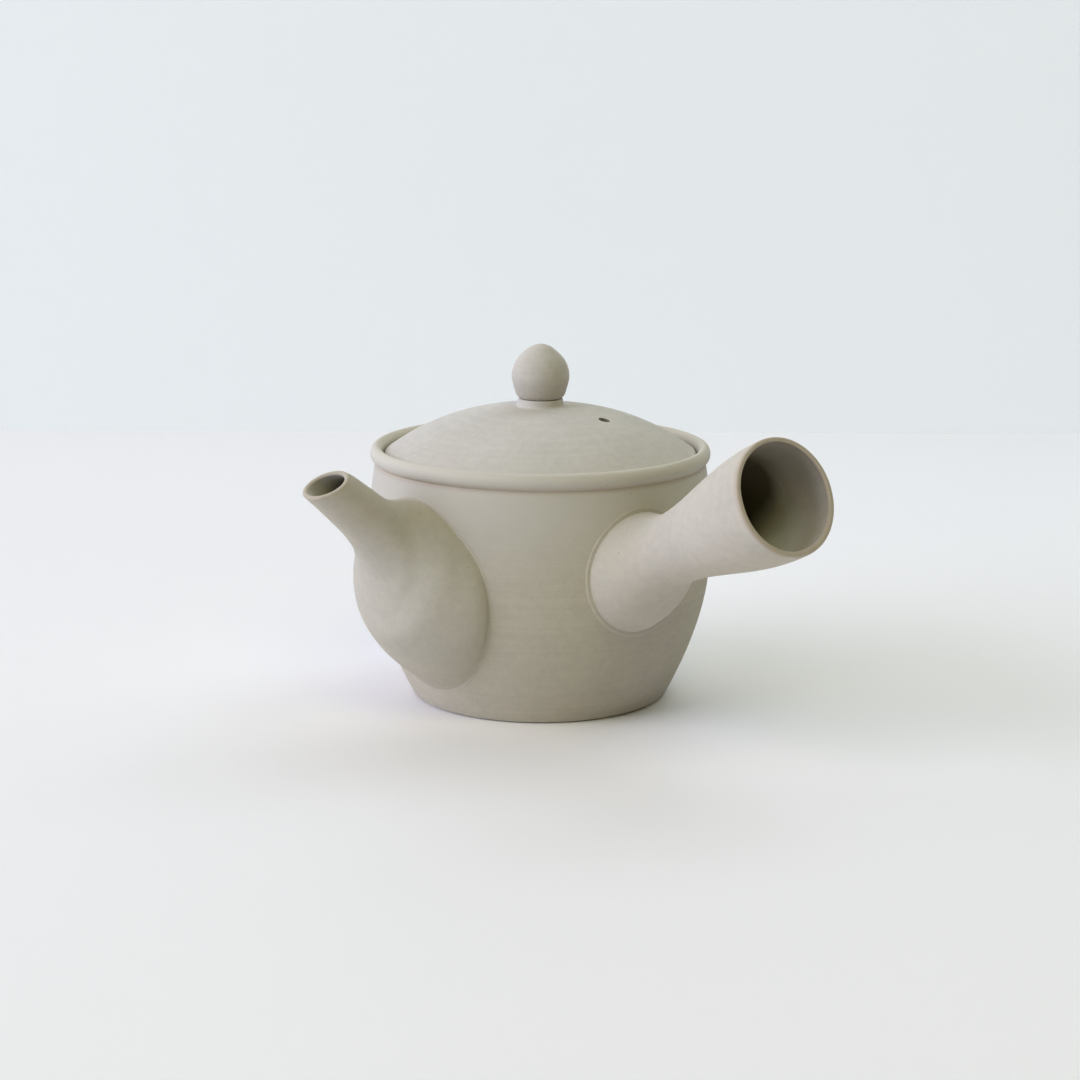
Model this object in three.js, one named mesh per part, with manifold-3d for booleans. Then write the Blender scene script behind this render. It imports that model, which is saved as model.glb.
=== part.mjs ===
// A kyusu, the side-handled teapot: thrown body, bulbed spout, hollow flared handle, clay strainer,
// domed lid and its knob. Unglazed grey-taupe stoneware.
// Millimetres, +Z up. The origin is the centre of the flat base and the handle points along +X.

import * as THREE from 'three';
import { mergeGeometries, mergeVertices } from 'three/addons/utils/BufferGeometryUtils.js';
import Module from 'manifold-3d';

const wasm = await Module();
wasm.setup();

// Body
const BASE_R = 36.3;
const BELLY_R = 48.65;
const BELLY_Z = 42;
const GROOVE_R = 46.85;
const GROOVE_Z = 66.9;
const POT_H = 72.1;
const WALL = 3;
const FLOOR = 4;
const BASE_EDGE = 0.5;

// Rounded lip: how far it stands out over the groove under it
const LIP_OUT = 1.15;

// Ledge under the lip that the lid rests on
const SEAT_Z = 67.4;
const SEAT_W = 3.9;
const SEAT_T = 2.6;

// Lid, with the low boss that carries the knob
const LID_R = 44.1;
const LID_EDGE_Z = 69.7;
const LID_TOP_Z = 82.8;
const LID_WALL = 2.6;
const FLANGE_T = 2.4;
const FLANGE_DEPTH = 7;
const BOSS_H = 2.1;
const BOSS_R = 6.35;
const BOSS_FILLET = 0.9;
const VENT_D = 2.8;
const VENT_AT_R = 21.2;
const VENT_ANGLE = 21.5;

// Knob
const KNOB_R = 8.15;
const KNOB_FOOT_R = 6.25;
const KNOB_H = 15.6;

// Handle: a straight tube that swells where it meets the wall and narrows behind its mouth.
// Lengths are measured along its axis from the belly.
const HANDLE_Z = 46.2;
const HANDLE_TILT = 25.9;
const HANDLE_L = 64.9;
const HANDLE_NECK_AT = 15.9;
const HANDLE_ROOT_R = 16.7;
const HANDLE_NECK_R = 9.62;
const HANDLE_MOUTH_R = 15.3;
const HANDLE_WALL = 1.8;
const HANDLE_LIP = 0.7;
const MOUTH_TURN = 5;

// Spout: its direction from the handle, how far its mouth stands out from the belly, and the
// heights between which its bulb leaves the wall
const SPOUT_ANGLE = -81.5;
const SPOUT_OUT = 29;
const SPOUT_Z = 70;
const SPOUT_FACE = 64;
const SPOUT_R = 6.6;
const SPOUT_WALL = 1.3;
const BULB_LOW_Z = 6;
const BULB_HIGH_Z = 57;
const BULB_HALF_W = 25.3;
const BULB_WALL = 2.4;

// Strainer set into the wall behind the bulb
const SCREEN_R = 18.6;
const SCREEN_Z = 37;
const SCREEN_T = 1.9;
const SCREEN_INSET = 0.5;
const HOLE_D = 1.7;
const HOLE_PITCH = 3.1;
const HOLE_RINGS = 5;

// Clearances
const JOIN_GAP = 0.3;
const LID_PLAY = 0.6;

const TURN = 48;
const deg = THREE.MathUtils.degToRad;
const point = (x, y) => new THREE.Vector2(x, y);

function manifoldOf(geometry) {
  geometry.deleteAttribute('normal');
  geometry.deleteAttribute('uv');
  const merged = mergeVertices(geometry, 1e-4);
  return new wasm.Manifold(new wasm.Mesh({
    numProp: 3,
    vertProperties: Float32Array.from(merged.attributes.position.array),
    triVerts: Uint32Array.from(merged.index.array),
  }));
}

function clay(color, roughness) {
  return new THREE.MeshStandardMaterial({ color, roughness, metalness: 0 });
}

function piece(name, solid, material) {
  const mesh = solid.getMesh();
  const geometry = new THREE.BufferGeometry();
  geometry.setAttribute('position', new THREE.BufferAttribute(Float32Array.from(mesh.vertProperties), 3));
  geometry.setIndex(new THREE.BufferAttribute(Uint32Array.from(mesh.triVerts), 1));
  geometry.computeVertexNormals();
  const part = new THREE.Mesh(geometry, material);
  part.name = name;
  return part;
}

// A solid of revolution about Z from (radius, height) points
function turned(points, segments = TURN) {
  const geometry = new THREE.LatheGeometry(points, segments);
  geometry.rotateX(Math.PI / 2);
  return manifoldOf(geometry);
}

function rod(radius, from, to, segments = 40) {
  const along = new THREE.Vector3().subVectors(to, from);
  const geometry = new THREE.CylinderGeometry(radius, radius, along.length(), segments);
  const turn = new THREE.Quaternion().setFromUnitVectors(new THREE.Vector3(0, 1, 0), along.clone().normalize());
  geometry.applyQuaternion(turn);
  geometry.translate(...from.clone().addScaledVector(along, 0.5).toArray());
  return geometry;
}

// A solid skinned over closed sections, each an ellipse given by its centre and two half axes, a
// turning to b anticlockwise as seen from the last section
function loft(sections, around = 28) {
  const positions = [];
  const index = [];
  for (const { centre, a, b } of sections) {
    for (let j = 0; j < around; j++) {
      const t = (j / around) * 2 * Math.PI;
      const p = centre.clone().addScaledVector(a, Math.cos(t)).addScaledVector(b, Math.sin(t));
      positions.push(...p.toArray());
    }
  }
  const last = sections.length - 1;
  for (let i = 0; i < last; i++) {
    for (let j = 0; j < around; j++) {
      const k = (j + 1) % around;
      const [p, q, r, s] = [i * around + j, i * around + k, (i + 1) * around + j, (i + 1) * around + k];
      index.push(p, q, s, p, s, r);
    }
  }
  const ends = [sections[0].centre, sections[last].centre].map((c) => {
    positions.push(...c.toArray());
    return positions.length / 3 - 1;
  });
  for (let j = 0; j < around; j++) {
    const k = (j + 1) % around;
    index.push(ends[0], k, j);
    index.push(ends[1], last * around + j, last * around + k);
  }
  const geometry = new THREE.BufferGeometry();
  geometry.setAttribute('position', new THREE.Float32BufferAttribute(positions, 3));
  geometry.setIndex(index);
  return manifoldOf(geometry);
}

// Outside of the body from base to groove, moved outwards by grow. The steps are those below and
// above the belly.
function bodySide(grow = 0, steps = [8, 5]) {
  const lower = new THREE.CubicBezierCurve(
    point(BASE_R, 0),
    point(BASE_R + (BELLY_R - BASE_R) * 0.59, BELLY_Z / 3),
    point(BELLY_R, (2 * BELLY_Z) / 3),
    point(BELLY_R, BELLY_Z),
  );
  const rise = GROOVE_Z - BELLY_Z;
  const upper = new THREE.CubicBezierCurve(
    point(BELLY_R, BELLY_Z),
    point(BELLY_R, BELLY_Z + rise * 0.4),
    point(GROOVE_R + (BELLY_R - GROOVE_R) * 0.8, GROOVE_Z - rise / 3),
    point(GROOVE_R, GROOVE_Z),
  );
  const points = [...lower.getPoints(steps[0]), ...upper.getPoints(steps[1]).slice(1)];
  return points.map((p) => point(p.x + grow, p.y));
}

// The lip's round bead, from the groove over its crown to the inside of the mouth
function lipBead() {
  const mouthR = LID_R + LID_PLAY;
  const outR = GROOVE_R + LIP_OUT;
  const wide = (outR - mouthR) / 2;
  const high = (POT_H - GROOVE_Z) / 2;
  const bead = new THREE.EllipseCurve(outR - wide, POT_H - high, wide, high, deg(-62), deg(180));
  return bead.getPoints(8);
}

function bodySolid() {
  const outside = bodySide();
  outside[0] = point(BASE_R, BASE_EDGE);
  const mouthR = LID_R + LID_PLAY;
  const seatR = mouthR - SEAT_W;
  const ledge = [
    point(mouthR, SEAT_Z),
    point(seatR + 0.5, SEAT_Z),
    point(seatR, SEAT_Z - 0.5),
    point(seatR, SEAT_Z - SEAT_T),
  ];
  const ledgeFoot = SEAT_Z - SEAT_T - SEAT_W;
  const inside = bodySide(-WALL)
    .filter((p) => p.y > FLOOR * 1.8 && p.y < ledgeFoot)
    .reverse();
  const foot = bodySide(-WALL)[1];
  const floor = [point(foot.x - 0.6, FLOOR + 1), point(foot.x - 3, FLOOR), point(0, FLOOR)];
  return turned([
    point(0, 0),
    point(BASE_R - BASE_EDGE, 0),
    ...outside,
    ...lipBead(),
    ...ledge,
    ...inside,
    ...floor,
  ]);
}

// The body filled in and grown by the joining gap: what the spout and handle are cut with
function bodyFilled(grow) {
  const side = bodySide(grow);
  return turned([point(0, -5), point(BASE_R + grow, -5), ...side, point(0, GROOVE_Z)]);
}

const spoutOut = new THREE.Vector3(Math.cos(deg(SPOUT_ANGLE)), Math.sin(deg(SPOUT_ANGLE)), 0);
const spoutSide = new THREE.Vector3(-spoutOut.y, spoutOut.x, 0);

// A place in the upright plane through the spout: distance from the pot's axis, and height
function inSpoutPlane(p) {
  return spoutOut.clone().multiplyScalar(p.x).setZ(p.y);
}

// Lines through places given as shares of the way from one end to the other
function sharedLine(from, to, shares) {
  const span = to.clone().sub(from);
  return new THREE.SplineCurve(shares.map(([x, y]) => point(from.x + span.x * x, from.y + span.y * y)));
}

// The spout lies between an upper and a lower line in its plane. The lower one swells into the bulb.
const UPPER_LINE = [[0, 0], [0.08, 0.14], [0.24, 0.31], [0.55, 0.445], [0.785, 0.77], [0.94, 0.88], [1, 1]];
const LOWER_LINE = [
  [0, 0], [0.12, 0.07], [0.29, 0.18], [0.41, 0.34], [0.484, 0.44], [0.543, 0.6], [0.652, 0.775], [0.864, 0.922],
  [1, 1],
];
const WIDTHS = [0.81, 0.97, 0.79, 0.44, 0.04, 0.02, 0];

function spoutSections(wall, reachOn) {
  const face = deg(SPOUT_FACE);
  const rim = point(-Math.sin(face), Math.cos(face)).multiplyScalar(SPOUT_R);
  const mouth = point(BELLY_R + SPOUT_OUT, SPOUT_Z);
  const root = BELLY_R - WALL * 3;
  const above = sharedLine(point(root, BULB_HIGH_Z), mouth.clone().add(rim), UPPER_LINE);
  const below = sharedLine(point(root - 1.6, BULB_LOW_Z), mouth.clone().sub(rim), LOWER_LINE);
  const halfWidth = new THREE.SplineCurve(
    WIDTHS.map((w, i) => point(i, i < 4 ? w * BULB_HALF_W : SPOUT_R + w * (BULB_HALF_W - SPOUT_R))),
  );
  const sections = [];
  const steps = 18;
  for (let i = 0; i <= steps; i++) {
    const u = i / steps;
    const top = above.getPoint(u);
    const low = below.getPoint(u);
    const thick = wall * THREE.MathUtils.lerp(BULB_WALL, SPOUT_WALL, Math.min(1, u * 1.3));
    const half = top.clone().sub(low).multiplyScalar(0.5);
    half.setLength(half.length() - thick);
    sections.push({
      centre: inSpoutPlane(top.clone().add(low).multiplyScalar(0.5)),
      a: spoutSide.clone().multiplyScalar(halfWidth.getPoint(u).y - thick),
      b: spoutOut.clone().multiplyScalar(half.x).setZ(half.y),
    });
  }
  if (reachOn) {
    const end = sections.at(-1);
    const out = point(Math.cos(face), Math.sin(face)).multiplyScalar(reachOn);
    sections.push({ centre: end.centre.clone().add(inSpoutPlane(out)), a: end.a, b: end.b });
  }
  return sections;
}

function spoutSolid() {
  return loft(spoutSections(0, 0), 32)
    .subtract(loft(spoutSections(1, 3), 32))
    .subtract(bodyFilled(JOIN_GAP));
}

// Radius along the handle from inside the wall (negative) to its mouth
function handleProfile() {
  const start = -HANDLE_NECK_AT * 0.75;
  const swell = HANDLE_NECK_AT - start;
  const flare = HANDLE_L - HANDLE_NECK_AT;
  const root = new THREE.CubicBezierCurve(
    point(start, HANDLE_ROOT_R),
    point(start + swell * 0.54, HANDLE_ROOT_R),
    point(start + swell * 0.73, HANDLE_NECK_R),
    point(HANDLE_NECK_AT, HANDLE_NECK_R),
  );
  const horn = new THREE.CubicBezierCurve(
    point(HANDLE_NECK_AT, HANDLE_NECK_R),
    point(HANDLE_NECK_AT + flare * 0.2, HANDLE_NECK_R * 1.03),
    point(HANDLE_NECK_AT + flare * 0.61, HANDLE_MOUTH_R * 0.975),
    point(HANDLE_L, HANDLE_MOUTH_R),
  );
  return [...root.getPoints(9), ...horn.getPoints(8).slice(1)];
}

// The handle's sections stand square to its axis and turn a little towards its mouth
function handleSections(wall, reachOn) {
  const tilt = deg(HANDLE_TILT);
  const axis = new THREE.Vector3(Math.cos(tilt), 0, Math.sin(tilt));
  const side = new THREE.Vector3(0, 1, 0);
  const atWall = new THREE.Vector3(BELLY_R, 0, HANDLE_Z);
  const sections = handleProfile().map(({ x: along, y: radius }) => {
    const turn = THREE.MathUtils.smoothstep(along, HANDLE_NECK_AT, HANDLE_L);
    const lean = deg(HANDLE_TILT - MOUTH_TURN * turn);
    const r = radius - wall * HANDLE_WALL;
    return {
      centre: atWall.clone().addScaledVector(axis, along),
      a: side.clone().multiplyScalar(r),
      b: new THREE.Vector3(-Math.sin(lean), 0, Math.cos(lean)).multiplyScalar(r),
    };
  });
  const end = sections.at(-1);
  const lip = wall ? -HANDLE_LIP : HANDLE_LIP;
  sections.push({
    centre: end.centre.clone().addScaledVector(axis, wall ? reachOn : HANDLE_LIP),
    a: end.a.clone().setLength(end.a.length() - lip),
    b: end.b.clone().setLength(end.b.length() - lip),
  });
  return sections;
}

function handleSolid() {
  return loft(handleSections(0, 0))
    .subtract(loft(handleSections(1, HANDLE_LIP + 0.1)))
    .subtract(bodyFilled(JOIN_GAP));
}

function spoutLine(distance) {
  return spoutOut.clone().multiplyScalar(distance).setZ(SCREEN_Z);
}

// The strainer is a disc of the wall's own curve, pierced by rings of holes
function strainerSolid() {
  const outer = bodySide(-SCREEN_INSET, [5, 3]);
  const inner = bodySide(-SCREEN_INSET - SCREEN_T, [5, 3]).reverse();
  const shell = turned([...outer, ...inner, outer[0]], 24);
  const disc = shell.intersect(manifoldOf(rod(SCREEN_R, spoutLine(20), spoutLine(70), 32)));
  const up = new THREE.Vector3(0, 0, 1);
  const holes = [];
  for (let ring = 0; ring <= HOLE_RINGS; ring++) {
    const count = Math.max(1, 6 * ring);
    for (let i = 0; i < count; i++) {
      const t = (i / count) * 2 * Math.PI;
      const shift = spoutSide.clone().multiplyScalar(Math.cos(t)).addScaledVector(up, Math.sin(t));
      shift.multiplyScalar(ring * HOLE_PITCH);
      holes.push(rod(HOLE_D / 2, spoutLine(25).add(shift), spoutLine(65).add(shift), 6));
    }
  }
  return disc.subtract(manifoldOf(mergeGeometries(holes)));
}

function domeCurve(edgeR, edgeZ, topR, topZ) {
  return new THREE.CubicBezierCurve(
    point(edgeR, edgeZ),
    point(edgeR - 9, edgeZ + 6.7),
    point(topR + 16, topZ - 1),
    point(topR, topZ),
  );
}

function lidSolid() {
  const rimUnder = SEAT_Z + JOIN_GAP;
  const flangeOut = LID_R - SEAT_W - LID_PLAY;
  const flangeIn = flangeOut - FLANGE_T;
  const flangeEnd = rimUnder - FLANGE_DEPTH;
  const bossTop = LID_TOP_Z + BOSS_H;
  const outside = domeCurve(LID_R - 0.5, LID_EDGE_Z + 0.35, BOSS_R + BOSS_FILLET, LID_TOP_Z).getPoints(9);
  const inside = domeCurve(flangeIn, LID_EDGE_Z + 1.2, BOSS_R, LID_TOP_Z - LID_WALL).getPoints(6);
  const solid = turned([
    point(0, LID_TOP_Z - LID_WALL),
    ...inside.reverse(),
    point(flangeIn + 0.2, flangeEnd + 0.4),
    point(flangeIn + 0.7, flangeEnd),
    point(flangeOut - 0.9, flangeEnd),
    point(flangeOut - 0.4, flangeEnd + 0.5),
    point(flangeOut, rimUnder),
    point(LID_R - 0.4, rimUnder),
    point(LID_R, rimUnder + 0.4),
    point(LID_R, LID_EDGE_Z - 0.2),
    ...outside,
    point(BOSS_R + BOSS_FILLET * 0.3, LID_TOP_Z + BOSS_H * 0.35),
    point(BOSS_R, LID_TOP_Z + BOSS_H * 0.8),
    point(BOSS_R - 0.3, bossTop),
    point(0, bossTop),
  ]);
  const a = deg(VENT_ANGLE);
  const vent = new THREE.Vector3(Math.cos(a) * VENT_AT_R, Math.sin(a) * VENT_AT_R, bossTop);
  return solid.subtract(manifoldOf(rod(VENT_D / 2, vent.clone().setZ(LID_EDGE_Z), vent, 12)));
}

// The knob stands on the lid's boss: round as a bud, fuller below, with a soft point
function knobSolid() {
  const foot = LID_TOP_Z + BOSS_H + JOIN_GAP;
  const tall = KNOB_H - JOIN_GAP;
  const bud = new THREE.SplineCurve([
    point(KNOB_FOOT_R, 0),
    point(KNOB_R * 0.81, tall * 0.06),
    point(KNOB_R * 0.9, tall * 0.17),
    point(KNOB_R, tall * 0.43),
    point(KNOB_R * 0.85, tall * 0.7),
    point(KNOB_R * 0.45, tall * 0.915),
    point(KNOB_R * 0.18, tall * 0.985),
  ]);
  const points = [point(0, 0), ...bud.getPoints(12), point(0, tall)];
  return turned(points.map((p) => point(p.x, p.y + foot)), 30);
}

const screenWell = manifoldOf(rod(SCREEN_R + JOIN_GAP, spoutLine(25), spoutLine(70), 32));

const pot = new THREE.Group();
pot.name = 'pot';
pot.add(piece('body', bodySolid().subtract(screenWell), clay(0xbcb4a5, 0.85)));
pot.add(piece('spout', spoutSolid(), clay(0xbcb4a5, 0.85)));
pot.add(piece('handle', handleSolid(), clay(0xc4bcae, 0.85)));
pot.add(piece('strainer', strainerSolid(), clay(0xb4ac9c, 0.88)));

const lid = new THREE.Group();
lid.name = 'lid_set';
lid.add(piece('lid', lidSolid(), clay(0xc6c1b7, 0.84)));
lid.add(piece('lid_knob', knobSolid(), clay(0xc2bcb1, 0.84)));

const kyusu = new THREE.Group();
kyusu.name = 'kyusu';
kyusu.add(pot, lid);

export default kyusu;
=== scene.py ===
import math

import bpy
import numpy as np
from mathutils import Matrix, Vector


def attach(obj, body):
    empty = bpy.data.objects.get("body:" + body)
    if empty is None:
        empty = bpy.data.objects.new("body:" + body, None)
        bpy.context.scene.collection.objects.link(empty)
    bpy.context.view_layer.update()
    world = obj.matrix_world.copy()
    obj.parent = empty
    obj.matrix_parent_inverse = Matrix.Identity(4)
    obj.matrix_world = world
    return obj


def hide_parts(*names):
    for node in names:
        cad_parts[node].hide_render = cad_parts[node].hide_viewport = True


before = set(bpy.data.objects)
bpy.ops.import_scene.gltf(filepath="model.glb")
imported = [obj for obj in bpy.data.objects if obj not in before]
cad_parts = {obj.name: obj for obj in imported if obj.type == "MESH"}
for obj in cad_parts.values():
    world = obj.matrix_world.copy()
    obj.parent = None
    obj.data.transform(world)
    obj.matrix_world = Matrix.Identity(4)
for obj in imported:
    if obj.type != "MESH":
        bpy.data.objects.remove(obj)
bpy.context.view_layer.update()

# An unglazed side-handled teapot on a white table. Outlines are drawn in millimetres and scaled
# by MM.
MM = 0.001

# Body. The three shares say how full its side is, from the base up.
BASE_R = 36.3
BEVEL = 0.5
BELLY_R = 48.64
BELLY_Z = 42.0
GROOVE_R = 46.85
GROOVE_Z = 67.35
FOOT_FULL = 0.59
SHOULDER_HIGH = 0.4
SHOULDER_FULL = 0.8
LIP_OUT = 1.35
POT_H = 71.95
WALL = 3.0
FLOOR = 4.0
SEAT_Z = 67.4
SEAT_W = 3.9
SEAT_T = 2.6
LEDGE_LOW_Z = 58
LEDGE_END_Z = 50

# Lid, its boss and the knob, whose outline is given as shares of its radius and height
LID_R = 44.1
LID_EDGE_Z = 69.7
LID_TOP_Z = 82.8
LID_WALL = 2.6
LID_PLAY = 0.6
FLANGE_T = 2.4
FLANGE_DEPTH = 6.9
BOSS_H = 2.1
BOSS_R = 6.35
BOSS_FILLET = 0.9
VENT_D = 3.0
VENT_AT_R = 21.2
VENT_ANGLE = 21.5
KNOB_R = 8.15
KNOB_FOOT_R = 6.25
KNOB_H = 15.45
BUD = [(0.81, 0.055), (0.9, 0.17), (1, 0.43), (0.85, 0.7), (0.45, 0.915), (0.18, 0.985), (0, 1)]

# Handle: lengths along its axis, from the belly. The pulls shape its outline between root, neck and
# mouth: shares of the way along, and for the flare shares of the radius at that end as well.
HANDLE_Z = 46.2
HANDLE_TILT = 25.6
HANDLE_L = 63.9
HANDLE_NECK_AT = 15.9
HANDLE_ROOT_R = 16.7
HANDLE_NECK_R = 9.73
HANDLE_MOUTH_R = 15.3
HANDLE_WALL = 1.7
ROOT_PULLS = (0.54, 0.73)
FLARE_PULLS = ((0.3, 1.017), (0.636, 1.045))

# The flared end turns a little out of the axis, and its rim is higher and thinner at the top
MOUTH_TURN = 2.9
MOUTH_HIGH = 0.03
MOUTH_THIN = 0.3

# Spout. Its wall thins from the bulb outwards, and its bore runs nearer to the pot at the throat.
SPOUT_ANGLE = -81.5
SPOUT_OUT = 28.95
SPOUT_Z = 70.0
SPOUT_FACE = 64.0
SPOUT_R = 6.6
SPOUT_WALL = 1.45
BULB_LOW_Z = 6.0
BULB_HIGH_Z = 57.0
BULB_HALF_W = 25.3
BULB_WALL = 2.4
THINNING = 1.3
THROAT_IN = 1.6
THROAT_AT = 0.42
THROAT_REACH = 0.15

# Luted seams: how deep a limb's two surfaces start in the wall, how far its hollow reaches, and how
# many steps it has along
OUTER_DEPTH = -0.05
INNER_DEPTH = 1.4
HOLLOW_REACH = 6
LIMB_STEPS = 90

# Strainer
SCREEN_R = 18.9
SCREEN_Z = 37.0
SCREEN_T = 1.9
SCREEN_INSET = 0.5
HOLE_D = 1.7
HOLE_PITCH = 3.1
HOLE_RINGS = 5

AROUND = 192
OUTLINE_STEP = 0.8


def bezier(p0, p1, p2, p3, count):
    t = np.linspace(0, 1, count)[:, None]
    p0, p1, p2, p3 = (np.array(p, float) for p in (p0, p1, p2, p3))
    return (1 - t) ** 3 * p0 + 3 * (1 - t) ** 2 * t * p1 + 3 * (1 - t) * t ** 2 * p2 + t ** 3 * p3


def spline(points, t):
    """A curve through the points, as a draughtsman's spline runs, at places t from 0 to 1."""
    p = np.array(points, float)
    s = np.asarray(t) * (len(p) - 1)
    i = np.minimum(s.astype(int), len(p) - 2)
    w = (s - i)[..., None]
    a, b, c, d = p[np.maximum(i - 1, 0)], p[i], p[i + 1], p[np.minimum(i + 2, len(p) - 1)]
    v0, v1 = (c - a) / 2, (d - b) / 2
    return (2 * b - 2 * c + v0 + v1) * w ** 3 + (3 * c - 3 * b - 2 * v0 - v1) * w ** 2 + v0 * w + b


def arc(centre, across, up, start, end, count):
    t = np.radians(np.linspace(start, end, count))
    return np.stack([centre[0] + across * np.cos(t), centre[1] + up * np.sin(t)], 1)


def even(points, step):
    """The same outline with no two points further apart than step."""
    out = [np.array(points[0], float)]
    for q in points[1:]:
        q = np.array(q, float)
        p = out[-1]
        if np.linalg.norm(q - p) < 1e-4:
            continue
        n = max(1, math.ceil(np.linalg.norm(q - p) / step))
        out += [p + (q - p) * k / n for k in range(1, n + 1)]
    return out


def rounded(corners):
    """An outline whose corners (x, y, reach) are rounded off from that reach on each side."""
    steps = 6
    out = []
    for k, (x, y, r) in enumerate(corners):
        p = np.array((x, y), float)
        if r == 0 or k in (0, len(corners) - 1):
            out.append(p)
            continue
        before = np.array(corners[k - 1][:2]) - p
        after = np.array(corners[k + 1][:2]) - p
        before, after = before / np.linalg.norm(before), after / np.linalg.norm(after)
        for t in np.linspace(0, 1, steps):
            out.append(p + r * ((1 - t) ** 2 * before + t ** 2 * after))
    return out


class Wire:
    """A value in a node tree, with arithmetic."""

    def __init__(self, board, socket):
        self.board, self.socket = board, socket

    def _do(self, operation, *values):
        return self.board.node("ShaderNodeMath", {"operation": operation}, *values)

    def __add__(self, other):
        return self._do("ADD", self, other)

    def __sub__(self, other):
        return self._do("SUBTRACT", self, other)

    def __rsub__(self, other):
        return self._do("SUBTRACT", other, self)

    def __mul__(self, other):
        return self._do("MULTIPLY", self, other)

    def __truediv__(self, other):
        return self._do("DIVIDE", self, other)

    def __pow__(self, other):
        return self._do("POWER", self, other)

    __radd__ = __add__
    __rmul__ = __mul__

    def sin(self):
        return self._do("SINE", self)

    def cos(self):
        return self._do("COSINE", self)

    def up(self):
        return self._do("CEIL", self)

    def down(self):
        return self._do("FLOOR", self)

    def below(self, limit):
        return self._do("LESS_THAN", self, limit)

    def least(self, limit):
        return self._do("MAXIMUM", self, limit)

    def clamped(self):
        return self.board.node("ShaderNodeClamp", {}, self)

    def between(self, low, high):
        """0 below low, 1 above high, smooth in between."""
        return self.board.node("ShaderNodeMapRange", {"interpolation_type": "SMOOTHSTEP"}, self, low, high)

    def part(self, k):
        return self.board.node("ShaderNodeSeparateXYZ", {}, self, output=k)


class Board:
    """A node tree whose nodes are written as expressions."""

    def __init__(self, tree):
        self.tree = tree

    def node(self, kind, settings, *inputs, output=0, **named):
        n = self.tree.nodes.new(kind)
        for key, value in settings.items():
            setattr(n, key, value)
        self.feed(zip(n.inputs, inputs))
        self.feed((n.inputs[key.replace("_", " ")], value) for key, value in named.items())
        return Wire(self, n.outputs[output]) if n.outputs else None

    def feed(self, pairs):
        """Links or sets each socket. None leaves it as it is."""
        for socket, value in pairs:
            if isinstance(value, Wire):
                self.tree.links.new(value.socket, socket)
            elif value is not None:
                socket.default_value = value

    def mix(self, factor, a, b):
        """Colour a where factor is 0 and b where it is 1."""
        n = self.tree.nodes.new("ShaderNodeMix")
        n.data_type = "RGBA"
        self.feed(((n.inputs[0], factor), (n.inputs[6], a), (n.inputs[7], b)))
        return Wire(self, n.outputs[2])

    def vector(self, x, y, z):
        return self.node("ShaderNodeCombineXYZ", {}, x, y, z)

    def vector_math(self, operation, a, b, output=0):
        return self.node("ShaderNodeVectorMath", {"operation": operation}, a, b, output=output)


class Recipe(Board):
    """A geometry node group with named inputs, used up into plain meshes."""

    def __init__(self, name, inputs):
        super().__init__(bpy.data.node_groups.new(name, "GeometryNodeTree"))
        face = self.tree.interface
        face.new_socket("Geometry", in_out="INPUT", socket_type="NodeSocketGeometry")
        for label, kind in inputs:
            face.new_socket(label, in_out="INPUT", socket_type="NodeSocket" + kind)
        face.new_socket("Geometry", in_out="OUTPUT", socket_type="NodeSocketGeometry")
        source = self.tree.nodes.new("NodeGroupInput")
        self.given = {socket.name: Wire(self, socket) for socket in source.outputs if socket.name}

    def close(self, geometry):
        whole = self.node("GeometryNodeRealizeInstances", {}, geometry)
        done = self.node("GeometryNodeSetMaterial", {}, whole, None, self.given["Material"])
        out = self.tree.nodes.new("NodeGroupOutput")
        self.tree.links.new(done.socket, out.inputs[0])

    def run(self, mesh, values):
        """The plain mesh that the group makes of this one."""
        obj = bpy.data.objects.new(mesh.name + "_raw", mesh)
        bpy.context.scene.collection.objects.link(obj)
        modifier = obj.modifiers.new(self.tree.name, "NODES")
        modifier.node_group = self.tree
        places = {i.name: i.identifier for i in self.tree.interface.items_tree if i.in_out == "INPUT"}
        for label, value in values.items():
            modifier[places[label]] = value
        graph = bpy.context.evaluated_depsgraph_get()
        made = bpy.data.meshes.new_from_object(obj.evaluated_get(graph), depsgraph=graph)
        bpy.data.objects.remove(obj)
        return made


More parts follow.
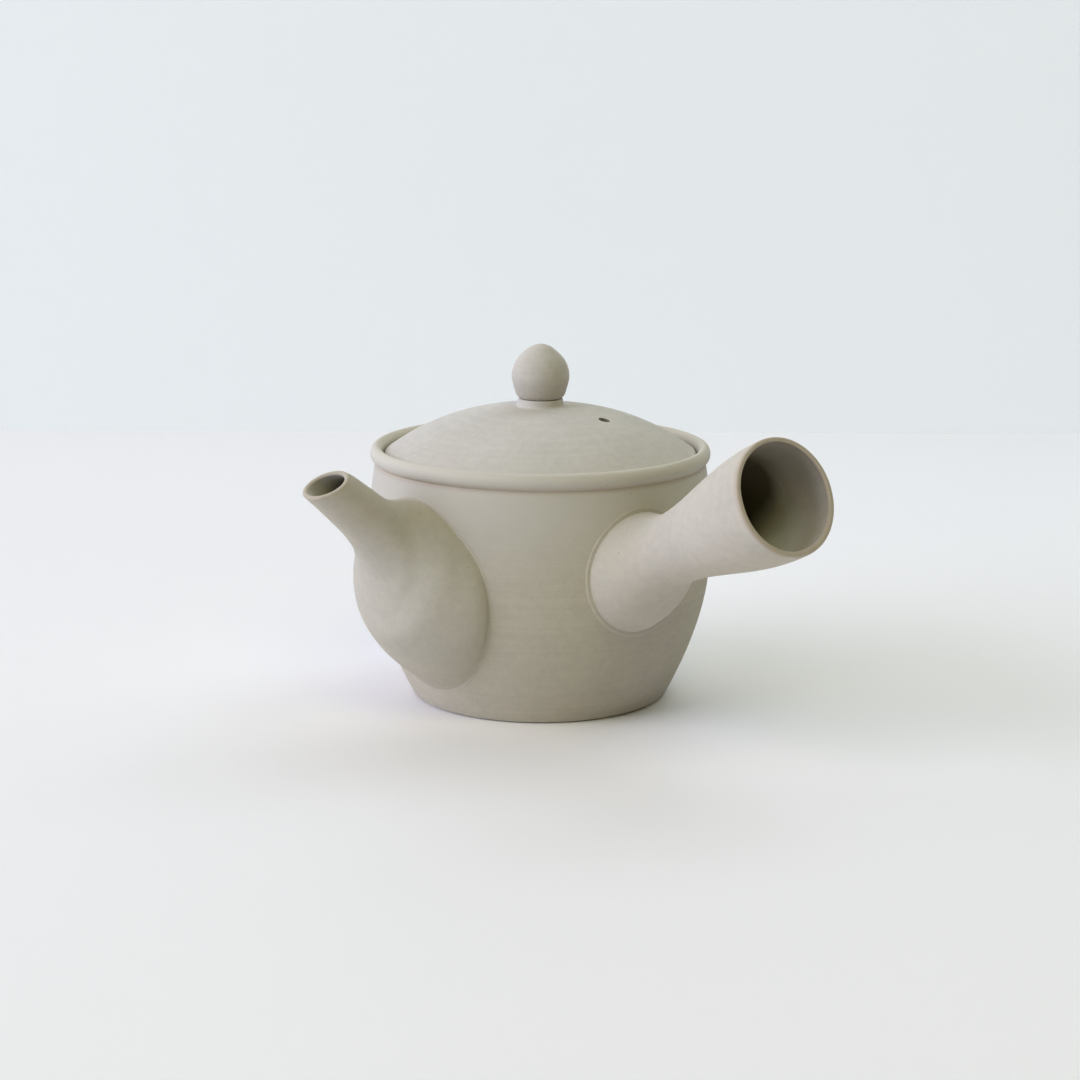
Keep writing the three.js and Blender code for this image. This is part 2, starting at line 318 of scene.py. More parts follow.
def spun_recipe():
    """Spins an outline round Z, as on the wheel, and leaves faint level rings of the maker's tool."""
    g = Recipe("spun", [
        ("Around", "Int"), ("Ring Depth", "Float"), ("Ring Scale", "Float"), ("Seed", "Float"),
        ("Material", "Material"),
    ])
    outline = g.given["Geometry"]
    rows = g.node("GeometryNodeAttributeDomainSize", {"component": "MESH"}, outline)
    grid = g.node("GeometryNodeMeshGrid", {}, 1.0, 1.0, g.given["Around"] + 1, rows)
    index = g.node("GeometryNodeInputIndex", {})
    column = ((index + 0.5) / rows).down()
    row = index - column * rows
    place = g.node("GeometryNodeInputPosition", {})
    drawn = g.node("GeometryNodeSampleIndex", {"data_type": "FLOAT_VECTOR"}, outline, place, row)
    radius, height = drawn.part(0), drawn.part(2)
    turn = column / g.given["Around"] * (2 * math.pi)
    thrown = g.vector(radius * turn.cos(), radius * turn.sin(), height)
    shaped = g.node("GeometryNodeSetPosition", {}, grid, Position=thrown)
    closed = g.node("GeometryNodeMergeByDistance", {}, shaped, Distance=1e-6)

    # The noise is drawn out level, so it makes rings. Flat faces such as the base get none.
    drawn_out, drawn_in = 0.25, 22
    at = g.node("GeometryNodeInputPosition", {})
    where = g.vector(at.part(0) * drawn_out, at.part(1) * drawn_out, at.part(2) * drawn_in + g.given["Seed"])
    rings = g.node("ShaderNodeTexNoise", {}, Vector=where, Scale=g.given["Ring Scale"], Detail=2.0)
    normal = g.node("GeometryNodeInputNormal", {})
    side = 1 - (normal.part(2) * normal.part(2)).between(0.9, 0.99)
    carved = (0 - rings.clamped()) * side * g.given["Ring Depth"]
    inward = g.node("ShaderNodeVectorMath", {"operation": "SCALE"}, normal, Scale=carved)
    ringed = g.node("GeometryNodeSetPosition", {}, closed, Offset=inward)
    g.close(g.node("GeometryNodeSetShadeSmooth", {}, ringed))
    return g


def pierced_recipe():
    """Pierces rings of round holes, six more in each ring than in the one inside it. No rings means
    one hole."""
    g = Recipe("pierced", [
        ("Rings", "Int"), ("Pitch", "Float"), ("Hole", "Float"), ("Depth", "Float"), ("Sides", "Int"),
        ("Place", "Vector"), ("Turn", "Vector"), ("Material", "Material"),
    ])
    rings = g.given["Rings"]
    points = g.node("GeometryNodePoints", {}, rings * (rings + 1) * 3 + 1)
    turn = g.given["Turn"]

    # The rings up to number r hold 3 r (r + 1) + 1 holes, so a hole's number gives its ring. The
    # small number keeps a ring's last hole from being rounded up into the next.
    index = g.node("GeometryNodeInputIndex", {})
    ring = (((index * 12 + 9) ** 0.5 - 3) / 6 - 1e-4).up()
    in_ring = index - ring * (ring - 1) * 3 - 1
    angle = in_ring / (ring * 6).least(1) * (2 * math.pi)
    reach = ring * g.given["Pitch"]
    flat = g.vector(reach * angle.cos(), reach * angle.sin(), 0.0)
    turned = g.node("ShaderNodeVectorRotate", {"rotation_type": "EULER_XYZ"}, Vector=flat, Rotation=turn)
    where = g.vector_math("ADD", turned, g.given["Place"])
    placed = g.node("GeometryNodeSetPosition", {}, points, Position=where)

    radius = g.given["Hole"] / 2
    drill = g.node("GeometryNodeMeshCylinder", {}, g.given["Sides"], Radius=radius, Depth=g.given["Depth"])
    drills = g.node("GeometryNodeInstanceOnPoints", {}, placed, Instance=drill, Rotation=turn)
    loose = g.node("GeometryNodeRealizeInstances", {}, drills)
    difference = {"operation": "DIFFERENCE", "solver": "EXACT"}
    cut = g.node("GeometryNodeMeshBoolean", difference, g.given["Geometry"], loose)

    # Edges that bend more than this many radians stay sharp
    sharp = 0.6
    bend = g.node("GeometryNodeInputMeshEdgeAngle", {})
    soft = g.node("GeometryNodeSetShadeSmooth", {}, cut)
    g.close(g.node("GeometryNodeSetShadeSmooth", {"domain": "EDGE"}, soft, Shade_Smooth=bend.below(sharp)))
    return g


SPUN = spun_recipe()
PIERCED = pierced_recipe()


def piece(name, mesh, body, node):
    mesh.name = name
    obj = bpy.data.objects.new(name, mesh)
    bpy.context.scene.collection.objects.link(obj)
    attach(obj, body)
    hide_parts(node)


def plain_mesh(name, vertices, faces, material):
    mesh = bpy.data.meshes.new(name)
    mesh.from_pydata([tuple(v) for v in vertices], [], faces)
    mesh.validate()
    mesh.shade_smooth()
    mesh.materials.append(material)
    return mesh


def spun(name, outline, material, seed, depth=0.05, scale=60.0, around=AROUND):
    """A thrown form from its outline, which runs from axis to axis, anticlockwise from the bottom."""
    points = [(r * MM, 0, z * MM) for r, z in outline]
    mesh = bpy.data.meshes.new(name)
    mesh.from_pydata(points, [(k, k + 1) for k in range(len(points) - 1)], [])
    return SPUN.run(mesh, {
        "Around": around, "Ring Depth": depth * MM, "Ring Scale": scale, "Seed": seed, "Material": material,
    })


def pierced(mesh, material, hole, place, turn, depth, sides, rings=0, pitch=1.0):
    """The mesh with holes this wide. Their drills are centred on the place and turned, in degrees."""
    return PIERCED.run(mesh, {
        "Rings": rings, "Pitch": pitch * MM, "Hole": hole * MM, "Depth": depth * MM, "Sides": sides,
        "Place": tuple(v * MM for v in place), "Turn": tuple(math.radians(v) for v in turn),
        "Material": material,
    })


def grid_faces(rows, around, wrap):
    """Faces between rows of points that each close on themselves. Wrap joins the last row to the
    first."""
    faces = []
    for i in range(rows if wrap else rows - 1):
        k = (i + 1) % rows
        for j in range(around):
            m = (j + 1) % around
            faces.append((i * around + j, i * around + m, k * around + m, k * around + j))
    return faces


def body_side(grow=0.0):
    """The body's outside from base to groove, moved out by grow."""
    rise = GROOVE_Z - BELLY_Z
    belly = (BELLY_R, BELLY_Z)
    foot_pull = (BASE_R + (BELLY_R - BASE_R) * FOOT_FULL, BELLY_Z / 3)
    lower = bezier((BASE_R, 0), foot_pull, (BELLY_R, 2 * BELLY_Z / 3), belly, 60)
    belly_pull = (BELLY_R, BELLY_Z + rise * SHOULDER_HIGH)
    shoulder_pull = (GROOVE_R + (BELLY_R - GROOVE_R) * SHOULDER_FULL, GROOVE_Z - rise / 3)
    upper = bezier(belly, belly_pull, shoulder_pull, (GROOVE_R, GROOVE_Z), 30)
    return np.vstack([lower, upper[1:]]) + (grow, 0)


def side_radius(z):
    side = body_side()
    return np.interp(z, side[:, 1], side[:, 0])


def body_outline():
    side = body_side()
    mouth_r = LID_R + LID_PLAY
    seat_r = mouth_r - SEAT_W
    out_r = GROOVE_R + LIP_OUT
    wide = (out_r - mouth_r) / 2
    high = (POT_H - GROOVE_Z) / 2
    base_end = 5
    base = rounded([
        (0, 0, 0),
        (BASE_R - BEVEL * 1.7, 0, 0.1),
        (BASE_R + 0.1, BEVEL, 0.12),
        (*side[base_end], 0),
    ])
    bead = arc((out_r - wide, POT_H - high), wide, high, -70, 180, 30)
    ledge = rounded([
        (*bead[-1], 0),
        (mouth_r, SEAT_Z, 0.5),
        (seat_r, SEAT_Z, 0.7),
        (seat_r, SEAT_Z - SEAT_T, 0.8),
        (side_radius(LEDGE_LOW_Z) - WALL, LEDGE_LOW_Z, 3),
        (side_radius(LEDGE_END_Z) - WALL, LEDGE_END_Z, 0),
    ])
    inside = body_side(-WALL)
    inside = inside[(inside[:, 1] < LEDGE_END_Z - 1) & (inside[:, 1] > FLOOR + 4)][::-1]
    foot = side_radius(FLOOR) - WALL
    floor = rounded([(*inside[-1], 0), (foot, FLOOR, 3), (0, FLOOR, 0)])
    groove = (GROOVE_R - 0.1, GROOVE_Z - 0.1)
    outside = [*base, *side[base_end + 1:-1], groove, *bead]
    return even([*outside, *ledge[1:], *inside, *floor[1:]], OUTLINE_STEP)


def dome(edge_r, edge_z, top_r, top_z):
    """The lid's curve from its edge, where it is steepest, to its boss, where it is nearly level."""
    edge_pull = (edge_r - 9, edge_z + 6.7)
    top_pull = (top_r + 16, top_z - 1)
    return bezier((edge_r, edge_z), edge_pull, top_pull, (top_r, top_z), 40)


def lid_outline():
    rim_z = SEAT_Z + 0.1
    out_r = LID_R - SEAT_W - LID_PLAY
    in_r = out_r - FLANGE_T
    low = rim_z - FLANGE_DEPTH
    top = LID_TOP_Z + BOSS_H
    under = dome(in_r, LID_EDGE_Z + 1.2, BOSS_R, LID_TOP_Z - LID_WALL)[::-1]
    over = dome(LID_R - 0.5, LID_EDGE_Z + 0.35, BOSS_R + BOSS_FILLET, LID_TOP_Z)
    rim = rounded([
        (*under[-1], 0),
        (in_r, low, 0.9),
        (out_r, low, 0.9),
        (out_r, rim_z, 0.4),
        (LID_R, rim_z, 0.5),
        (LID_R, LID_EDGE_Z + 0.1, 0.7),
        (*over[2], 0),
    ])
    boss = rounded([
        (*over[-2], 0),
        (BOSS_R + 0.15, LID_TOP_Z + 0.05, 0.8),
        (BOSS_R, top, 0.35),
        (BOSS_R - 2.0, top, 0),
        (0, top, 0),
    ])
    return even([(0, LID_TOP_Z - LID_WALL), *under, *rim[1:], *over[3:-2], *boss], OUTLINE_STEP)


def knob_outline():
    sunk = 0.1
    foot = LID_TOP_Z + BOSS_H - sunk
    tall = KNOB_H + sunk
    stops = [(KNOB_FOOT_R - 0.9, 0), *((KNOB_R * reach, tall * up) for reach, up in BUD)]
    bud = spline(stops, np.linspace(0, 1, 80))
    return even([(max(x, 0), y + foot) for x, y in [(0, 0), *bud]], OUTLINE_STEP / 2)


def wall_normal(points):
    """Which way the body's wall faces at points on it."""
    z = points[:, 2]
    slope = (side_radius(z + 0.5) - side_radius(z - 0.5))[:, None]
    out = points[:, :2] / np.linalg.norm(points[:, :2], axis=1)[:, None]
    normal = np.hstack([out, -slope])
    return normal / np.linalg.norm(normal, axis=1)[:, None]


def on_wall(points, height):
    """The points moved in or out to this height over the body's wall."""
    radius = side_radius(points[:, 2]) + height
    flat = points[:, :2] / np.linalg.norm(points[:, :2], axis=1)[:, None] * radius[:, None]
    return np.hstack([flat, points[:, 2:]])


# Painted shade in a bore: how much darker its clay is painted at shares of the way from mouth to root,
# and for the handle how much that rises from its middle to its roof. Below nothing the clay is painted
# paler, as painted light.
HANDLE_PAINTED_DARK = [
    (0, 0.22), (0.08, 0.2), (0.15, -0.2), (0.225, -0.45), (0.29, 0.1), (0.35, 0.5), (0.42, 0.85), (0.5, 1),
]
HANDLE_ROOF_PAINTED_DARK = [(0, 0.25), (0.08, 0.3), (0.15, 0.8), (0.225, 1.5), (0.3, 2.0), (0.38, 1.3), (0.5, 0)]
SPOUT_PAINTED_DARK = [(0.1, -0.45), (0.3, 1)]


def handle_painted_shade(depth, angle):
    """Painted shade on the roof and painted light on the floor, which faces the light."""
    level = np.interp(depth, *zip(*HANDLE_PAINTED_DARK))
    slope = np.interp(depth, *zip(*HANDLE_ROOF_PAINTED_DARK))
    return np.clip(level + slope * np.sin(angle), -1, 1)


# Painted light near the spout's mouth and painted shade deeper in its bore
def spout_painted_shade(depth, angle):
    return np.interp(depth, *zip(*SPOUT_PAINTED_DARK)) + 0 * angle


def settled(points, drop):
    """A limb's outside drawn in near its seam, so that it leaves the body's wall in a hollow curve."""
    out = np.linalg.norm(points[..., :2], axis=-1)
    height = np.maximum(out - side_radius(points[..., 2]), 0)
    less = drop * (1 - np.exp(-height / drop)) * np.exp(-height / HOLLOW_REACH)
    return points * np.stack([(out - less) / out] * 2 + [np.ones_like(out)], -1)


def shell(name, outer, inner, slip, drop, tone, material):
    """A hollow luted limb. outer and inner give its surface at (place along, angle). Each line along
    it starts where it leaves the body's wall, and slip is the coil smoothed down round that seam, as
    (distance from the limb, height) from its edge inwards. drop is how far it is drawn in there, and
    tone gives the painted shade and painted light in its bore."""
    steps, around = LIMB_STEPS, AROUND
    angles = np.linspace(0, 2 * math.pi, around, endpoint=False)

    def lines(surface, depth):
        """Rows of the surface from where it was last this deep in the wall to its mouth."""
        probe = np.linspace(0, 0.8, 800)
        field = surface(probe[:, None], angles[None])
        inside = np.hypot(field[..., 0], field[..., 1]) < side_radius(field[..., 2]) - depth
        last = len(probe) - 1 - np.argmax(inside[::-1], axis=0)
        start = np.where(inside.any(axis=0), probe[last], 0)
        t = np.linspace(0, 1, steps)[:, None]
        return surface(start + (1 - start) * t, np.broadcast_to(angles, (steps, around)))

    out_rows = settled(lines(outer, OUTER_DEPTH), drop(angles)[None])
    in_rows = lines(inner, INNER_DEPTH)

    # The coil lies on the wall outside of the seam
    seam = on_wall(out_rows[0], 0)
    along = np.roll(seam, -1, axis=0) - np.roll(seam, 1, axis=0)
    away = np.cross(along, wall_normal(seam))
    away /= np.linalg.norm(away, axis=1)[:, None]
    if np.sum(away * (seam - seam.mean(axis=0))) < 0:
        away = -away
    coil = [on_wall(seam + away * reach, height) for reach, height in slip]

    # The rim is nearly a half round between the outside and the bore
    middle = (out_rows[-1] + in_rows[-1]) / 2
    across = out_rows[-1] - middle
    direction = np.cross(across[0], across[around // 4])
    direction /= np.linalg.norm(direction)
    reach = np.linalg.norm(across, axis=1)[:, None]
    rim_full = 0.8
    rim = [
        middle + across * math.cos(t) + direction * reach * math.sin(t) * rim_full
        for t in np.linspace(0, math.pi, 9)[1:-1]
    ]

    rows = [*coil, *out_rows, *rim, *in_rows[::-1]]
    vertices = np.vstack(rows) * MM
    mesh = plain_mesh(name, vertices, grid_faces(len(rows), around, True), material)
    # The bore's rows carry its painted shade and painted light
    painted_bore = np.zeros((len(rows), around))
    painted_bore[-steps:] = tone(np.linspace(0, 1, steps)[:, None], angles[None])
    mesh.attributes.new("inside", "FLOAT", "POINT").data.foreach_set("value", painted_bore.ravel())
    return mesh


SPOUT_DIR = np.array((math.cos(math.radians(SPOUT_ANGLE)), math.sin(math.radians(SPOUT_ANGLE)), 0))
SPOUT_SIDE = np.array((-SPOUT_DIR[1], SPOUT_DIR[0], 0))
UP = np.array((0, 0, 1.0))

# The spout's upper and lower lines, as shares of the way from root to mouth, out and up. Its half
# width is a share of the bulb's, and along the tube a share of the way from the mouth's to the bulb's.
UPPER_LINE = [(0, 0), (0.08, 0.14), (0.24, 0.31), (0.547, 0.408), (0.778, 0.711), (0.942, 0.944), (1, 1)]
LOWER_LINE = [
    (0, 0), (0.12, 0.07), (0.293, 0.18), (0.436, 0.313), (0.466, 0.445), (0.526, 0.62), (0.658, 0.766),
    (0.874, 0.919), (1, 1),
]
BULB_WIDTHS = [0.818, 0.965, 0.785, 0.48]
TUBE_WIDTHS = [0.12, 0.04, 0]


def spout_surface(wall):
    """The spout's outside for wall 0 and its bore for wall 1, as a function of the share of the way
    from root to mouth and the angle round it."""
    face = math.radians(SPOUT_FACE)
    rim = np.array((-math.sin(face), math.cos(face))) * SPOUT_R
    mouth = np.array((BELLY_R + SPOUT_OUT, SPOUT_Z))
    root = BELLY_R - WALL * 3
    low_root = root - 1.6

    def shared(start, end, shares):
        start = np.array(start)
        return [start + (end - start) * share for share in np.array(shares)]

    above = shared((root, BULB_HIGH_Z), mouth + rim, UPPER_LINE)
    below = shared((low_root, BULB_LOW_Z), mouth - rim, LOWER_LINE)
    bulb = [(share * BULB_HALF_W,) for share in BULB_WIDTHS]
    tube = [(SPOUT_R + share * (BULB_HALF_W - SPOUT_R),) for share in TUBE_WIDTHS]

    def at(u, angle):
        top, low, side = spline(above, u), spline(below, u), spline(bulb + tube, u)
        thick = wall * (BULB_WALL + (SPOUT_WALL - BULB_WALL) * np.minimum(1, u * THINNING))[..., None]
        half = (top - low) / 2
        size = np.linalg.norm(half, axis=-1, keepdims=True)
        place = (top + low) / 2 + np.sin(angle)[..., None] * half * (size - thick) / size
        across = np.cos(angle)[..., None] * (side - thick)
        near_throat = np.exp(-((u - THROAT_AT) / THROAT_REACH) ** 2)
        out = place[..., :1] - (wall * THROAT_IN * near_throat)[..., None]
        return out * SPOUT_DIR + place[..., 1:] * UP + across * SPOUT_SIDE

    return at


HANDLE_AXIS = np.array((math.cos(math.radians(HANDLE_TILT)), 0, math.sin(math.radians(HANDLE_TILT))))


def handle_surface(wall):
    """The handle's outside for wall 0 and its bore for wall 1, given as spout_surface gives them."""
    start = -HANDLE_NECK_AT * 0.75
    swell = HANDLE_NECK_AT - start
    flare = HANDLE_L - HANDLE_NECK_AT
    neck = (HANDLE_NECK_AT, HANDLE_NECK_R)
    root_pulls = [
        (start + swell * share, radius) for share, radius in zip(ROOT_PULLS, (HANDLE_ROOT_R, HANDLE_NECK_R))
    ]
    flare_pulls = [
        (HANDLE_NECK_AT + flare * share, radius * grown)
        for (share, grown), radius in zip(FLARE_PULLS, (HANDLE_NECK_R, HANDLE_MOUTH_R))
    ]
    profile = np.vstack([
        bezier((start, HANDLE_ROOT_R), *root_pulls, neck, 80),
        bezier(neck, *flare_pulls, (HANDLE_L, HANDLE_MOUTH_R), 80)[1:],
    ])

    def at(u, angle):
        along = (start + (HANDLE_L - start) * u)[..., None]
        x = np.clip((along - HANDLE_NECK_AT) / flare, 0, 1)
        x = x * x * (3 - 2 * x)
        top = x * np.clip(np.sin(angle), 0, 1)[..., None]
        radius = np.interp(along, profile[:, 0], profile[:, 1]) * (1 + MOUTH_HIGH * top)
        radius = radius - wall * HANDLE_WALL * (1 - MOUTH_THIN * top)
        lean = np.radians(HANDLE_TILT - MOUTH_TURN * x)
        up = np.concatenate([-np.sin(lean), 0 * lean, np.cos(lean)], -1)
        side = np.cos(angle)[..., None] * np.array((0, 1.0, 0))
        return (BELLY_R, 0, HANDLE_Z) + along * HANDLE_AXIS + radius * (side + np.sin(angle)[..., None] * up)

    return at


def screen_mesh(material):
    """The strainer's disc, bent as the wall is."""
    angles = np.linspace(0, 2 * math.pi, 96, endpoint=False)

    def ring(reach, inset):
        x, z = reach * np.cos(angles), SCREEN_Z + reach * np.sin(angles)
        away = np.sqrt((side_radius(z) - inset) ** 2 - x ** 2)
        return away[:, None] * SPOUT_DIR + x[:, None] * SPOUT_SIDE + z[:, None] * UP

    inside = SCREEN_INSET + SCREEN_T
    reaches = [0.02, *np.linspace(0, SCREEN_R, 16)[1:]]
    rows = [ring(r, SCREEN_INSET) for r in reaches]
    rows += [ring(r, inside) for r in reaches[::-1]]
    ends = [rows[0].mean(axis=0), rows[-1].mean(axis=0)]
    vertices = np.vstack([*rows, ends]) * MM
    around = len(angles)
    faces = [f[::-1] for f in grid_faces(len(rows), around, False)]
    first = len(vertices) - 2
    last_row = (len(rows) - 1) * around
    for j in range(around):
        m = (j + 1) % around
        faces.append((first, j, m))
        faces.append((first + 1, last_row + m, last_row + j))
    return plain_mesh("screen_raw", vertices, faces, material)


class Finish(Board):
    """A material whose nodes are written as expressions."""

    def __init__(self, name):
        self.material = bpy.data.materials.new(name)
        self.material.use_nodes = True
        super().__init__(self.material.node_tree)
        self.tree.nodes.clear()

    def place(self):
        return self.node("ShaderNodeTexCoord", {}, output="Object")

    def noise(self, scale, stretch=(1, 1, 1), detail=3.0, shift=(0, 0, 0)):
        where = self.node("ShaderNodeMapping", {}, self.place(), shift, (0, 0, 0), stretch)
        return self.node("ShaderNodeTexNoise", {}, Vector=where, Scale=scale, Detail=detail, Roughness=0.55)

    def close(self, colour, roughness, height):
        """The finished matt material. Height is in fifths of a millimetre, and shows at a quarter of it."""
        normal = self.node("ShaderNodeBump", {}, Strength=0.25, Distance=0.2 * MM, Height=height)
        shader = self.node(
            "ShaderNodeBsdfPrincipled", {},
            Base_Color=colour, Roughness=roughness, Specular_IOR_Level=0.3, Normal=normal,
        )
        self.node("ShaderNodeOutputMaterial", {}, shader)
        return self.material


def linear(r, g, b):
    """The colour (0 to 255) as it shows on screen, in Blender's own scale."""
    return tuple(((c / 255 + 0.055) / 1.055) ** 2.4 if c > 10 else c / 255 / 12.92 for c in (r, g, b)) + (1,)


# How much each of the clay's patterns changes its tone, and how far the tone goes down and up
PATTERN = 0.2
DARKEST = 0.84
LIGHTEST = 1.16


def clay(name, colour, touches, lines, seed=0.0):
    """Fired clay: a soft mottle, level turning lines from the wheel, fine grain and rare dark specks.
    touches are colours laid over the clay, each with where and how much: some the fire left, and some
    are painted light and painted shade."""
    f = Finish(name)
    mottle = f.noise(45, detail=4, shift=(seed, 0, 0))
    turning = f.noise(60, stretch=(0.3, 0.3, 26), detail=3, shift=(0, seed, 0))
    blotch = f.noise(420, detail=3, shift=(seed, 2, 0)).between(0.3, 0.7)
    grain = f.noise(2600, detail=2)
    sand = f.noise(7000, detail=1).between(0.3, 0.7)
    soft = (mottle.between(0.3, 0.7) + blotch - 1) * PATTERN
    level = (turning.between(0.25, 0.75) - 0.5) * PATTERN * lines
    fine = (grain.between(0.25, 0.75) + sand - 1) * PATTERN
    tone = soft + level + fine + 0.5
    dark = tuple(c * DARKEST for c in colour[:3]) + (1,)
    light = tuple(min(1, c * LIGHTEST) for c in colour[:3]) + (1,)
    base = f.mix(tone.clamped(), dark, light)
    for where, touch in touches:
        base = f.mix(where(f), base, touch)

    # A limb's mesh says how much painted shade and painted light its bore gets. Other meshes have no such
    # attribute and read nothing.
    depth = f.node("ShaderNodeAttribute", {"attribute_name": "inside"}, output="Fac")
    base = f.mix(depth, base, PAINTED_HOLLOW_SHADE)
    base = f.mix(0 - depth, base, PAINTED_BORE_LIGHT)
    base = f.mix(f.noise(18, shift=(seed, 4, 1)).between(0.45, 0.75) * 0.25, base, WARM)
    speck = f.node("ShaderNodeTexVoronoi", {}, Vector=f.place(), Scale=420.0)
    spot = (1 - speck.between(0.04, 0.14)) * f.noise(700, shift=(7, seed, 3)).between(0.6, 0.64)
    base = f.mix(spot * 0.6, base, SPECK)
    height = grain * 0.55 + turning * lines * 0.7 + f.noise(900, detail=2) * 0.35
    return f.close(base, 0.82 + grain * 0.12, height)


def around_height(middle, reach, share):
    """A level band, full in its middle."""
    def where(f):
        off = (f.place().part(2) - middle * MM) / (reach * MM)
        return (1 - (off * off).clamped()) * share
    return where


def rising(low, high, share):
    """From nothing at the low height to the share at the high one."""
    return lambda f: f.place().part(2).between(low * MM, high * MM) * share


def falling(low, high, share):
    """From the share at the low height to nothing at the high one."""
    return lambda f: (1 - f.place().part(2).between(low * MM, high * MM)) * share


def beyond(direction, low, high, share):
    """Past planes square to the direction: nothing at the low one and the share at the high one."""
    def where(f):
        along = f.vector_math("DOT_PRODUCT", f.place(), tuple(direction), output="Value")
        return along.between(low * MM, high * MM) * share
    return where


VENT_TURN = math.radians(VENT_ANGLE)
VENT = (math.cos(VENT_TURN) * VENT_AT_R, math.sin(VENT_TURN) * VENT_AT_R, LID_TOP_Z - 4)
VENT_SHADE = 0.7


def in_vent(f):
    """Inside the lid's vent hole, where little light comes."""
    x = f.place().part(0) - VENT[0] * MM
    y = f.place().part(1) - VENT[1] * MM
    radius = (x * x + y * y) ** 0.5
    edge = VENT_D / 2
    return (1 - radius.between((edge + 0.05) * MM, (edge + 0.2) * MM)) * VENT_SHADE


# Which way the spout's mouth faces, and how far along that and along the handle's axis the ends are
MOUTH_DIR = math.cos(math.radians(SPOUT_FACE)) * SPOUT_DIR + math.sin(math.radians(SPOUT_FACE)) * UP
SPOUT_END = float(MOUTH_DIR @ ((BELLY_R + SPOUT_OUT) * SPOUT_DIR + SPOUT_Z * UP))
HANDLE_END = float(HANDLE_AXIS @ (BELLY_R, 0, HANDLE_Z)) + HANDLE_L

# A warm drift over all of the clay, fired rims, a tan band in the groove under the lip that is partly
# painted shade, the upper wall and the lip's top painted paler as partly painted light, painted shade on
# the knob's foot, the specks, and painted shade and painted light inside the limbs and the vent hole
WARM = linear(194, 183, 166)
TAN = linear(186, 166, 146)
UPPER = linear(193, 187, 176)
PALE = linear(211, 204, 192)
SHADE = linear(150, 141, 124)
SPECK = linear(100, 92, 78)
PAINTED_HOLLOW_SHADE = linear(84, 75, 58)
PAINTED_BORE_LIGHT = linear(226, 225, 228)
# Touches on the body: the upper wall painted paler towards the top, partly its own tone and partly painted
# light from the left; a tan band round the groove under the lip, its tint there with painted shade in the
# crease; and the lip's top painted paler, partly a painted highlight
body_clay = clay("body_clay", linear(187, 179, 163), [
    (rising(38, 64, 1.0), UPPER), (around_height(67.3, 1.2, 0.5), TAN), (rising(68.6, 71.2, 0.7), PALE),
], 1.0)
spout_clay = clay("spout_clay", linear(189, 182, 168), [
    (beyond(MOUTH_DIR, SPOUT_END - 0.7, SPOUT_END, 0.4), TAN),
], 0.3, 2.0)
handle_clay = clay("handle_clay", linear(196, 188, 175), [
    (beyond(HANDLE_AXIS, HANDLE_END - 0.9, HANDLE_END, 0.5), TAN),
], 0.3, 5.0)
# The vent hole's inside is painted dark: painted shade where little light comes
lid_clay = clay("lid_clay", linear(202, 196, 189), [(in_vent, PAINTED_HOLLOW_SHADE)], 0.9, 9.0)
# The knob's foot is painted darker towards the lid: painted shade
knob_clay = clay("knob_clay", linear(198, 191, 182), [(falling(86, 93, 0.3), SHADE)], 1.0, 11.0)
strainer_clay = clay("strainer_clay", linear(180, 172, 156), (), 0.2, 13.0)

# The hole behind the bulb, and the strainer's holes, are drilled level through this place
SPOUT_TURN = (90, 0, SPOUT_ANGLE + 90)
DRILL = 16
spout_place = SPOUT_DIR * BELLY_R + SCREEN_Z * UP
thrown = spun("body_raw", body_outline(), body_clay, seed=1.0)
thrown = pierced(thrown, body_clay, SCREEN_R * 2, spout_place, SPOUT_TURN, DRILL, sides=96)
piece("body_thrown", thrown, "pot", "body")

domed = spun("lid_raw", lid_outline(), lid_clay, seed=5.0, depth=0.03)
domed = pierced(domed, lid_clay, VENT_D, VENT, (0, 0, 0), depth=14, sides=48)
piece("lid_thrown", domed, "lid", "lid")
knob = spun("knob_raw", knob_outline(), knob_clay, seed=9.0, depth=0.04, scale=90.0, around=96)
piece("knob_thrown", knob, "lid", "lid_knob")

# The smoothed coils round the two seams: distance from the limb and height over the wall
HANDLE_SLIP = [(1.5, -0.25), (1.35, 0.0), (1.15, 0.06), (0.9, 0.06), (0.6, 0.0), (0.3, -0.12), (0.1, -0.2)]
SPOUT_SLIP = [(0.9, -0.2), (0.75, 0.0), (0.6, 0.05), (0.45, 0.03), (0.25, -0.05), (0.1, -0.08)]
spout_mesh = shell(
    "spout_luted", spout_surface(0), spout_surface(1), SPOUT_SLIP,
    lambda a: 0.5 + 1.6 * np.clip(np.sin(a), 0, 1) ** 2, spout_painted_shade, spout_clay,
)
piece("spout_luted", spout_mesh, "pot", "spout")
handle_mesh = shell(
    "handle_luted", handle_surface(0), handle_surface(1), HANDLE_SLIP,
    lambda a: 0.4 + 0.4 * np.clip(np.sin(a), 0, 1), handle_painted_shade, handle_clay,
)
piece("handle_luted", handle_mesh, "pot", "handle")
screen = pierced(
    screen_mesh(strainer_clay), strainer_clay, HOLE_D, spout_place, SPOUT_TURN, DRILL, sides=16,
    rings=HOLE_RINGS, pitch=HOLE_PITCH,
)
piece("strainer_pierced", screen, "pot", "strainer")

# Camera, at the place and with the lens that the photograph was taken with
VIEW_ANGLE = 54.9
CAMERA_AWAY = 0.698
CAMERA_UP = 0.1972
CAMERA_PITCH = 12.39
CAMERA_ROLL = 0.2
LENS = 83.33


def from_camera(right, away, up):
    """A place given to the right of, behind and above the pot as the camera sees it."""
    h = math.radians(VIEW_ANGLE)
    return (right * math.cos(h) - away * math.sin(h), right * math.sin(h) + away * math.cos(h), up)


